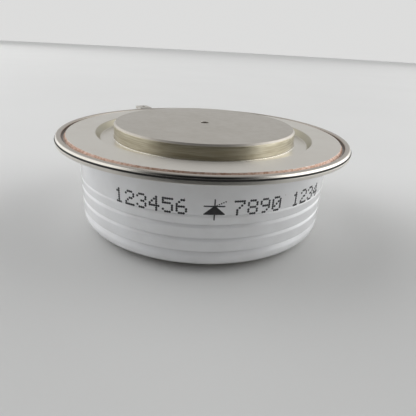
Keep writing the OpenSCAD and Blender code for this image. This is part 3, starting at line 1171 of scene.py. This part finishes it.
@dataclass
class GateOutlet:
    """The gate tube through the ceramic, its brazed collar, and the ferrule and tab on its end."""

    profile: Profile
    tube_d: float = 3.0
    tube_bore_d: float = 2.0
    tube_out: float = 4.6
    collar_d: float = 5.2
    collar_h: float = 0.8
    ferrule_d: float = 4.0
    ferrule_grip: float = 1.6
    ferrule_l: float = 2.8
    lead_bore_d: float = 1.0
    tab_w: float = 2.8
    tab_t: float = 0.8
    tab_l: float = 6.5
    tab_hole_d: float = 1.2
    hole_in: float = 2.5
    corner_r: float = 0.7

    def build_tube(self) -> bpy.types.Object:
        """Returns the tube.

        Returns:
            The finished piece.
        """
        start = self.profile.ceramic_r - CeramicRing.wall - 0.6
        end = self.profile.ceramic_r + self.tube_out
        bore, outer = self.tube_bore_d / 2, self.tube_d / 2
        piece = turned("gate_outlet_tube", [
            Corner(bore, start, 0.08), Corner(bore, end, 0.08),
            Corner(outer, end, 0.12), Corner(outer, start, 0.12),
        ], 64)
        lay_down(piece)
        at_terminal(piece, self.profile.gate_z)
        return finish_mesh(piece)

    def build_collar(self) -> bpy.types.Object:
        """Returns the brazed collar, whose back fits the round ceramic.

        Returns:
            The finished piece.
        """
        r = self.profile.ceramic_r
        bore = self.tube_d / 2 + self.profile.bond_gap
        piece = turned("gate_outlet_collar", [
            Corner(bore, r - self.collar_h), Corner(bore, r + self.collar_h, 0.05),
            Corner(self.collar_d / 2, r + self.collar_h, 0.3), Corner(self.collar_d / 2, r - self.collar_h),
        ], 64)
        lay_down(piece)
        at_terminal(piece, self.profile.gate_z)
        deselect()
        bpy.ops.mesh.primitive_cylinder_add(
            vertices=SEGMENTS, radius=r + self.profile.bond_gap, depth=4 * self.collar_d,
            location=(0, 0, self.profile.gate_z),
        )
        combine(piece, bpy.context.object)
        return finish_mesh(piece)

    def build_tab(self) -> bpy.types.Object:
        """Returns the ferrule and its flat tab, which are one piece.

        Returns:
            The finished piece.
        """
        start = self.profile.ceramic_r + self.tube_out - self.ferrule_grip
        end = start + self.ferrule_l
        tip = end + self.tab_l
        r = self.ferrule_d / 2
        ferrule = turned("ferrule", [
            Corner(0, start), Corner(r, start, 0.15), Corner(r, end, 0.3), Corner(0, end),
        ], 64)
        lay_down(ferrule)
        piece = flat_tab("gate_tab", end - 0.3, tip, self.tab_w, self.tab_t, self.corner_r)
        combine(piece, ferrule, "UNION")
        fit_d = self.tube_d + 2 * self.profile.bond_gap
        combine(piece, rod("grip", start - 1, start + self.ferrule_grip + self.profile.bond_gap, fit_d))
        combine(piece, rod("lead_bore", start, end - 0.25, self.lead_bore_d))
        punch(piece, tip - self.hole_in, self.tab_hole_d, self.tab_t)
        at_terminal(piece, self.profile.gate_z)
        break_edges(piece, 0.05, 40)
        return finish_mesh(piece)


def flat_tab(
    name: str, start: float, end: float, width: float, thick: float, corner_r: float,
) -> bpy.types.Object:
    """Makes a flat tab along +X with its two outer corners rounded.

    Args:
        name: The new object's name.
        start: Where the tab begins.
        end: Where its tip is.
        width: The tab's width.
        thick: The tab's thickness, half above and half below z = 0.
        corner_r: The rounding of the outer corners.

    Returns:
        The tab.
    """
    deselect()
    bpy.ops.mesh.primitive_cube_add(
        size=1, location=((start + end) / 2, 0, 0), scale=(end - start, width, thick),
    )
    piece = bpy.context.object
    piece.name = name
    bpy.ops.object.transform_apply()
    round_tip(piece, end, corner_r)
    return piece


def round_tip(piece: bpy.types.Object, tip: float, corner_r: float) -> None:
    """Rounds the upright edges at a tab's tip.

    Args:
        piece: The tab.
        tip: Where its tip is.
        corner_r: The rounding of its corners.
    """
    select_where(piece, "EDGE", lambda a, b: abs(a.x - tip) < 0.01 and abs(b.x - tip) < 0.01
                 and abs(a.y - b.y) < 0.01)
    bpy.ops.mesh.bevel(offset=corner_r, segments=8, affect="EDGES")
    bpy.ops.object.mode_set(mode="OBJECT")


def punch(piece: bpy.types.Object, x: float, d: float, thick: float, z: float = 0.0) -> None:
    """Punches a round hole through a tab.

    Args:
        piece: The tab.
        x: Where the hole's centre is.
        d: The hole's diameter.
        thick: The tab's thickness.
        z: The height of the tab's middle.
    """
    deselect()
    bpy.ops.mesh.primitive_cylinder_add(vertices=48, radius=d / 2, depth=4 * thick, location=(x, 0, z))
    combine(piece, bpy.context.object)


@dataclass
class CathodeTab:
    """The auxiliary cathode tab, which steps down under the rim and rises outside it."""

    profile: Profile
    sheets: Sheets
    width: float = 4.2
    thick: float = 0.8
    length: float = 6.5
    rise: float = 1.6
    hole_d: float = 1.4
    hole_in: float = 2.5
    corner_r: float = 0.7
    slip_gap: float = 0.1

    def shift(self, run: float, rise: float) -> float:
        """Returns how far a bend's lower corner lies outside its upper one.

        Args:
            run: How far the bend reaches along the tab.
            rise: How far it rises or drops.

        Returns:
            The distance.
        """
        return self.thick * tan(atan2(rise, run) / 2)

    def build(self) -> bpy.types.Object:
        """Returns the tab.

        Returns:
            The finished piece.
        """
        p = self.profile
        root_end = self.sheets.groove_inner_r - 0.3
        under = p.seam_z - p.bead_d / 2 - self.slip_gap
        blade = under + self.rise
        drop = p.ceramic_top_z - under
        drop_end = root_end + 0.6
        bend_start = p.rim_r + 0.1
        bend_end = bend_start + 1.6
        drop_shift = self.shift(drop_end - root_end, drop)
        rise_shift = self.shift(bend_end - bend_start, self.rise)
        tip = p.rim_r + self.length
        t = self.thick
        side = rounded([
            Corner(p.ceramic_r + 0.4, p.ceramic_top_z),
            Corner(root_end, p.ceramic_top_z, 0.1),
            Corner(drop_end, under, 0.1),
            Corner(bend_start, under, 0.4),
            Corner(bend_end, blade, 0.7),
            Corner(tip, blade),
            Corner(tip, blade - t),
            Corner(bend_end + rise_shift, blade - t, 0.4),
            Corner(bend_start + rise_shift, under - t, 0.7),
            Corner(drop_end - drop_shift, under - t, 0.1),
            Corner(root_end - drop_shift, p.ceramic_top_z - t, 0.1),
            Corner(p.ceramic_r + 0.4, p.ceramic_top_z - t),
        ], closed=True)
        piece = extruded("cathode_tab", [Vector((x, 0, z)) for x, z in side], Vector((0, self.width, 0)))
        round_tip(piece, tip, self.corner_r)
        punch(piece, tip - self.hole_in, self.hole_d, t, blade - t / 2)
        at_terminal(piece, 0)
        break_edges(piece, 0.05, 40)
        return finish_mesh(piece)


# The print on the ceramic

DIGITS = {
    "0": ("01110", "10001", "10011", "10101", "11001", "10001", "01110"),
    "1": ("00100", "01100", "00100", "00100", "00100", "00100", "01110"),
    "2": ("01110", "10001", "00001", "00110", "01000", "10000", "11111"),
    "3": ("01110", "10001", "00001", "00110", "00001", "10001", "01110"),
    "4": ("00010", "00110", "01010", "10010", "11111", "00010", "00010"),
    "5": ("11111", "10000", "11110", "00001", "00001", "10001", "01110"),
    "6": ("00110", "01000", "10000", "11110", "10001", "10001", "01110"),
    "7": ("11111", "00001", "00010", "00100", "01000", "01000", "01000"),
    "8": ("01110", "10001", "10001", "01110", "10001", "10001", "01110"),
    "9": ("01110", "10001", "10001", "01111", "00001", "00010", "01100"),
}


@dataclass
class Print:
    """Plain numbers and the usual thyristor symbol, printed in dots of ink on the ceramic's band."""

    profile: Profile
    dot_r: float = 0.26
    dot_h: float = 0.03
    pitch: float = 0.47
    top_z: float = 16.9
    digit_step: float = radians(5.05)

    def dot(self) -> bpy.types.Object:
        """Returns one domed dot of ink, facing +X at the ceramic's radius.

        Returns:
            The dot.
        """
        deselect()
        bpy.ops.mesh.primitive_cylinder_add(
            vertices=10, radius=self.dot_r, depth=2 * self.dot_h,
            location=(self.profile.ceramic_r, 0, 0), rotation=(0, pi / 2, 0),
        )
        piece = bpy.context.object
        bpy.ops.object.transform_apply()
        outer = self.profile.ceramic_r + self.dot_h
        select_where(piece, "FACE", lambda centre, normal: centre.x > outer - 0.001)
        bpy.ops.mesh.bevel(offset=self.dot_h * 0.8, segments=2, affect="EDGES")
        bpy.ops.object.mode_set(mode="OBJECT")
        return piece

    def digit_places(self, text: str, start: float) -> list[Point]:
        """Returns the place of each dot of some digits.

        Args:
            text: The digits, with spaces.
            start: The angle of the first digit's left edge, from -Y towards +X.

        Returns:
            The angle and height of each dot.
        """
        step = self.pitch / self.profile.ceramic_r
        places = []
        for i, digit in enumerate(text):
            for row, dots in enumerate(DIGITS.get(digit, ())):
                for column, on in enumerate(dots):
                    if on == "1":
                        places.append((start + i * self.digit_step + column * step,
                                       self.top_z - row * self.pitch))
        return places

    def line_places(self, start: Point, end: Point, gap: float) -> list[Point]:
        """Returns dots along a line between two places, a gap in millimetres apart.

        Args:
            start: The angle and height of one end.
            end: The angle and height of the other.
            gap: The distance between two dots, in millimetres.

        Returns:
            The angle and height of each dot.
        """
        across = (end[0] - start[0]) * self.profile.ceramic_r
        steps = max(1, round(hypot(across, end[1] - start[1]) / gap))
        return [(start[0] + (end[0] - start[0]) * i / steps, start[1] + (end[1] - start[1]) * i / steps)
                for i in range(steps + 1)]

    def symbol_places(self) -> list[Point]:
        """Returns the dots of the thyristor symbol: leads, triangle, bar and gate.

        Returns:
            The angle and height of each dot.
        """
        middle, left, right = radians(4.85), radians(1.2), radians(8.3)
        top, bar, base, foot = 17.3, 15.9, 14.2, 13.0
        fine = 0.22
        lines = [
            ((middle, top), (middle, bar), fine),
            ((left, bar), (right, bar), fine),
            ((left, base), (right, base), fine),
            ((left, base), (middle, bar), fine),
            ((right, base), (middle, bar), fine),
            ((middle, base), (middle, foot), fine),
            ((middle, bar), (right + radians(0.4), 16.9), self.pitch),
        ]
        rows = round((bar - base) / fine)
        for row in range(1, rows):
            share = row / rows
            z = base + (bar - base) * share
            lines.append(((left + (middle - left) * share, z), (right + (middle - right) * share, z), fine))
        return [place for line in lines for place in self.line_places(*line)]

    def build(self, name: str, places: Sequence[Point], scale: float = 1.0) -> bpy.types.Object:
        """Copies one dot to each place and joins the copies.

        Args:
            name: The joined piece's name.
            places: The angle and height of each dot.
            scale: The size of the dots against the usual one.

        Returns:
            The print.
        """
        usual = self.dot_r
        self.dot_r = usual * scale
        first = self.dot()
        self.dot_r = usual
        copies = []
        for angle, z in places:
            copy = first.copy()
            copy.data = first.data.copy()
            bpy.context.collection.objects.link(copy)
            copy.matrix_world = Matrix.Translation((0, 0, z)) @ Matrix.Rotation(angle - pi / 2, 4, "Z")
            copies.append(copy)
        bpy.data.objects.remove(first)
        deselect()
        for copy in copies:
            copy.select_set(True)
        bpy.context.view_layer.objects.active = copies[0]
        bpy.ops.object.join()
        piece = bpy.context.object
        piece.name = name
        bpy.ops.object.transform_apply()
        return finish_mesh(piece)


# The studio


@dataclass
class Studio:
    """A wide paper floor, two soft lamps behind, the surroundings and the camera.

    Fields that end in _x, _y and _z are where a part of the surroundings fades in along that axis, as a
    share of the way out from the object. The floor's own spans are millimetres along Y.
    """

    eye: Vector = field(default_factory=lambda: Vector((0, -0.09796, 0.04482)))
    yaw: float = 1.207
    pitch: float = 23.977
    roll: float = 3.157
    lens: float = 31.728
    sensor: float = 36.0
    clip: Point = (0.001, 100.0)
    floor_r: float = 3.0
    floor_tint: tuple = (0.89, 0.89, 0.88)
    # Painted shade: the floor's colour near the camera.
    near_shade: tuple = (0.67, 0.67, 0.66)
    near_span: Point = (60.0, -70.0)
    mottle: float = 0.985
    # Painted dark reflection: the colour that gloss sees on the floor in front, where the camera stands.
    front_dark_reflection: tuple = (0.03, 0.03, 0.03)
    front_dark_reflection_span: Point = (-56.0, -77.0)
    lamp_way: tuple = (0.72, 0.367, 0.588)
    lamp_size: float = 1.8
    lamp_distance: float = 1.6
    left_glow: float = 0.94
    right_glow: float = 0.56
    backdrop: tuple = (0.72, 0.72, 0.715)
    sheen: tuple = (0.62, 0.62, 0.61)
    sheen_z: Point = (0.95, 0.60)
    sheen_y: Point = (-0.62, -0.20)
    side_sheen: tuple = (2.0, 2.0, 1.95)
    right_window_x: Point = (0.35, 0.95)
    left_window_x: Point = (-0.40, -0.72)
    left_share: float = 0.36
    room: Point = (0.004, 0.32)
    room_y: Point = (-0.65, 0.15)
    front_glow: float = 0.16
    front_glow_z: Point = (0.60, 0.42)
    first_bounces: float = 2.5
    front_fill: Point = (0.0, 0.17)
    front_fill_z: Point = (0.0, 0.9)
    side_fill: tuple = (2.9, 2.94, 3.02)
    side_fill_x: Point = (0.45, 0.95)
    front_share: float = 0.35

    def camera(self) -> None:
        """Sets the camera at the photograph's place."""
        data = bpy.data.cameras.new("camera")
        data.lens = self.lens
        data.sensor_width = self.sensor
        data.clip_start, data.clip_end = self.clip
        camera = bpy.data.objects.new("camera", data)
        bpy.context.scene.collection.objects.link(camera)
        aim = Matrix.Rotation(-radians(self.yaw), 4, "Z")
        aim = aim @ Matrix.Rotation(pi / 2 - radians(self.pitch), 4, "X")
        aim = aim @ Matrix.Rotation(radians(self.roll), 4, "Z")
        camera.matrix_world = Matrix.Translation(self.eye) @ aim
        bpy.context.scene.camera = camera

    def floor(self) -> None:
        """Makes the wide paper floor, with painted shade that makes it darker near the camera, and a painted
        dark reflection in front that only gloss sees.
        """
        deselect()
        bpy.ops.mesh.primitive_circle_add(vertices=96, radius=self.floor_r, fill_type="NGON")
        floor = bpy.context.object
        floor.name = "floor"
        edit(floor)
        bpy.ops.mesh.inset(thickness=self.floor_r * 0.8)
        bpy.ops.object.mode_set(mode="OBJECT")
        g = Graph("floor_paper")
        mottled = tuple(c * self.mottle for c in self.floor_tint)
        colour = g.mix(g.ramp(g.noise(0.01, 3), 0.3, 0.7), self.floor_tint, mottled)
        # Painted shade: the floor is darker towards the camera.
        colour = g.mix(g.ramp(g.y, *self.near_span), colour, self.near_shade)
        ray = g.node("ShaderNodeLightPath", {}).outputs
        # Painted dark reflection: glossy rays see the floor in front as near black.
        before_lens = g.math("MULTIPLY", ray["Is Glossy Ray"], g.ramp(g.y, *self.front_dark_reflection_span))
        colour = g.mix(before_lens, colour, self.front_dark_reflection)
        floor.data.materials.append(g.shade(Base_Color=colour, Roughness=0.6, Specular_IOR_Level=0.3))

    def lamp(self, name: str, way: Vector, glow: float) -> None:
        """Adds a square soft lamp in a direction, aimed at the object.

        Args:
            name: The lamp's name.
            way: The direction in which it stands.
            glow: How bright its face is.
        """
        data = bpy.data.lights.new(name, "AREA")
        data.shape = "SQUARE"
        data.size = self.lamp_size
        data.energy = glow * pi * self.lamp_size ** 2
        lamp = bpy.data.objects.new(name, data)
        bpy.context.scene.collection.objects.link(lamp)
        place = way.normalized() * self.lamp_distance
        aim = (-place).to_track_quat("-Z", "Y").to_matrix().to_4x4()
        lamp.matrix_world = Matrix.Translation(place) @ aim
        lamp.visible_camera = False
        lamp.visible_glossy = False

    def surroundings(self) -> None:
        """Sets the world: one for the camera, one for gloss and one for soft light.

        Gloss sees pale paper behind, brighter windows at the sides and a dark room in front and above.
        The room has a low glow that only first reflections see. Soft light comes from both sides.
        """
        world = bpy.data.worlds.new("surroundings")
        bpy.context.scene.world = world
        world.use_nodes = True
        tree = world.node_tree
        tree.nodes.clear()

        def add(kind: str, *sources: Input) -> bpy.types.Node:
            """Adds a node and feeds its first inputs.

            Args:
                kind: The node's type name.
                *sources: The value or the source of each of its first inputs.

            Returns:
                The new node.
            """
            made = tree.nodes.new(kind)
            for socket, value in zip(made.inputs, sources):
                if isinstance(value, bpy.types.NodeSocket):
                    tree.links.new(value, socket)
                else:
                    socket.default_value = value
            return made

        def number(operation: str, *sources: Input) -> bpy.types.NodeSocket:
            """Returns the result of a number operation.

            Args:
                operation: The operation's name.
                *sources: Its numbers.

            Returns:
                The resulting number.
            """
            made = add("ShaderNodeMath", *sources)
            made.operation = operation
            return made.outputs[0]

        def fade(value: Input, span: Point, to: Point = (0.0, 1.0), kind: str = "SMOOTHSTEP") -> Input:
            """Returns a value mapped from a span to a range.

            Args:
                value: The number to map.
                span: The start and end of the first range.
                to: The start and end of the second range.
                kind: How the number runs from one end to the other.

            Returns:
                The mapped number.
            """
            made = add("ShaderNodeMapRange", value, *span, *to)
            made.interpolation_type = kind
            return made.outputs[0]

        def glow(colour: Input) -> bpy.types.NodeSocket:
            """Returns a background of one colour or grey.

            Args:
                colour: The colour, or the source of a grey.

            Returns:
                The background.
            """
            source = (*colour, 1) if isinstance(colour, tuple) else colour
            return add("ShaderNodeBackground", source).outputs[0]

        def blend(share: Input, a: Input, b: Input) -> bpy.types.NodeSocket:
            """Returns a mix of two backgrounds.

            Args:
                share: The share of the second background.
                a: The first background.
                b: The second background.

            Returns:
                The mixed background.
            """
            return add("ShaderNodeMixShader", share, a, b).outputs[0]

        way = add("ShaderNodeSeparateXYZ", add("ShaderNodeTexCoord").outputs["Generated"]).outputs
        ray = add("ShaderNodeLightPath").outputs

        first = number("LESS_THAN", ray["Ray Depth"], self.first_bounces)
        low_front = fade(way["Z"], self.front_glow_z, (0.0, self.front_glow))
        room = fade(way["Y"], self.room_y, self.room, "LINEAR")
        dark = glow(number("MULTIPLY_ADD", low_front, first, room))
        left = fade(way["X"], self.left_window_x, (0.0, self.left_share))
        windows = number("ADD", fade(way["X"], self.right_window_x), left)
        bright = blend(windows, glow(self.sheen), glow(self.side_sheen))
        behind = number("MULTIPLY", fade(way["Z"], self.sheen_z), fade(way["Y"], self.sheen_y))
        glossy = blend(behind, dark, bright)

        in_front = number("MINIMUM", way["Y"], 0.0)
        aside = number("MULTIPLY_ADD", in_front, self.front_share, number("ABSOLUTE", way["X"]))
        from_above = glow(fade(way["Z"], self.front_fill_z, self.front_fill, "LINEAR"))
        fill = blend(fade(aside, self.side_fill_x), from_above, glow(self.side_fill))

        soft = blend(ray["Is Diffuse Ray"], glossy, fill)
        seen = blend(ray["Is Camera Ray"], soft, glow(self.backdrop))
        add("ShaderNodeOutputWorld", seen)

    def build(self) -> None:
        """Sets up the whole studio."""
        self.camera()
        self.floor()
        x, y, z = self.lamp_way
        self.lamp("lamp_left", Vector((-x, y, z)), self.left_glow)
        self.lamp("lamp_right", Vector((x, y, z)), self.right_glow)
        self.surroundings()
        bpy.context.scene.view_settings.view_transform = "Standard"


def dress_inner_nodes() -> None:
    """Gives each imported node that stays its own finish."""
    silver = BrushedMetal("silver_plate", (0.86, 0.84, 0.79), (0.72, 0.68, 0.6), 0.22)
    steel = BrushedMetal("spring_steel", (0.46, 0.46, 0.47), (0.36, 0.35, 0.34), 0.3)
    ground = BrushedMetal("ground_molybdenum", (0.42, 0.42, 0.44), (0.36, 0.36, 0.38), 0.42, 5.0)
    wafer = BrushedMetal("silicon", (0.26, 0.28, 0.32), (0.22, 0.23, 0.27), 0.16, 6.0, 0.002)
    rubber = Moulded("silicone_rubber", (0.8, 0.82, 0.8), (0.72, 0.75, 0.72), 0.35, 0.35)
    plastic = Moulded("white_plastic", (0.82, 0.81, 0.77), (0.76, 0.75, 0.71), 0.5)
    finishes = {
        silver: ("gate_contact_pin", "gate_lead"),
        steel: ("gate_disc_springs",),
        ground: ("anode_molybdenum_disc", "cathode_molybdenum_disc"),
        wafer: ("silicon_wafer",),
        rubber: ("passivation_ring",),
        plastic: ("locating_ring", "gate_sleeve", "gate_lead_sleeve"),
    }
    for finish, names in finishes.items():
        material = finish.material()
        for name in names:
            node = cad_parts[name]
            node.data.materials.clear()
            node.data.materials.append(material)


def main() -> None:
    """Builds and dresses the capsule, then the studio round it."""
    logging.basicConfig(level=logging.INFO, format="%(message)s")
    profile = Profile()
    sheets = Sheets(profile)
    pole_finish = TurnedNickel("turned_nickel", side_r=profile.contact_r).material()
    sheet_finish = SheetNickel(
        "cathode_nickel", groove=(sheets.groove_inner_r, sheets.groove_inner_r + sheets.groove_slope_w),
        seam=sheets.notch, recess_wall=(sheets.recess_outer_r - sheets.recess_slope_w, sheets.recess_outer_r),
        crest=(sheets.bead_inner_r, profile.rim_r - sheets.flank_w),
    ).material()
    plain_sheet = SheetNickel("sheet_nickel", seam=sheets.notch).material()
    braze = BrushedMetal("braze", (0.8, 0.77, 0.7), (0.68, 0.64, 0.56), 0.2, 0.9, 0.05).material()
    terminal = BrushedMetal("terminal_nickel", (0.66, 0.64, 0.6), (0.56, 0.53, 0.48), 0.3, 2.0).material()
    ink = Moulded("black_ink", (0.022, 0.022, 0.024), (0.05, 0.05, 0.052), 0.55).material()

    dress(CathodePole(profile).build(), pole_finish, "satin_nickel", "cathode_pole")
    dress(AnodePole(profile).build(), pole_finish, "satin_nickel", "anode_pole")
    dress(BrazeRing(profile, Side.UP, profile.floor_z).build(), braze, "silver_braze", "cathode_braze_ring")
    dress(BrazeRing(profile, Side.DOWN, low("anode_flange").z).build(), braze, "silver_braze",
          "anode_braze_ring")
    dress(sheets.build_cathode(), sheet_finish, "flange_nickel", "cathode_flange")
    dress(sheets.build_housing(), plain_sheet, "flange_nickel", "housing_flange")
    dress(sheets.build_anode(), plain_sheet, "flange_nickel", "anode_flange")
    dress(CeramicRing(profile).build(), Glaze("white_glaze").material(), "white_ceramic", "ceramic_ring")
    outlet = GateOutlet(profile)
    dress(outlet.build_tube(), terminal, "terminal_nickel", "gate_tube")
    dress(outlet.build_collar(), braze, "silver_braze", "gate_tube_collar")
    dress(outlet.build_tab(), terminal, "terminal_nickel", "gate_terminal")
    dress(CathodeTab(profile, sheets).build(), terminal, "terminal_nickel", "cathode_terminal")
    stamp = Print(profile)
    dress(stamp.build("print_left", stamp.digit_places("123456", radians(-33.8))), ink, "")
    dress(stamp.build("print_right", stamp.digit_places("7890 1234", radians(12.2))), ink, "")
    dress(stamp.build("print_symbol", stamp.symbol_places(), 0.62), ink, "")
    dress_inner_nodes()
    Studio().build()


if __name__ == "__main__":
    main()
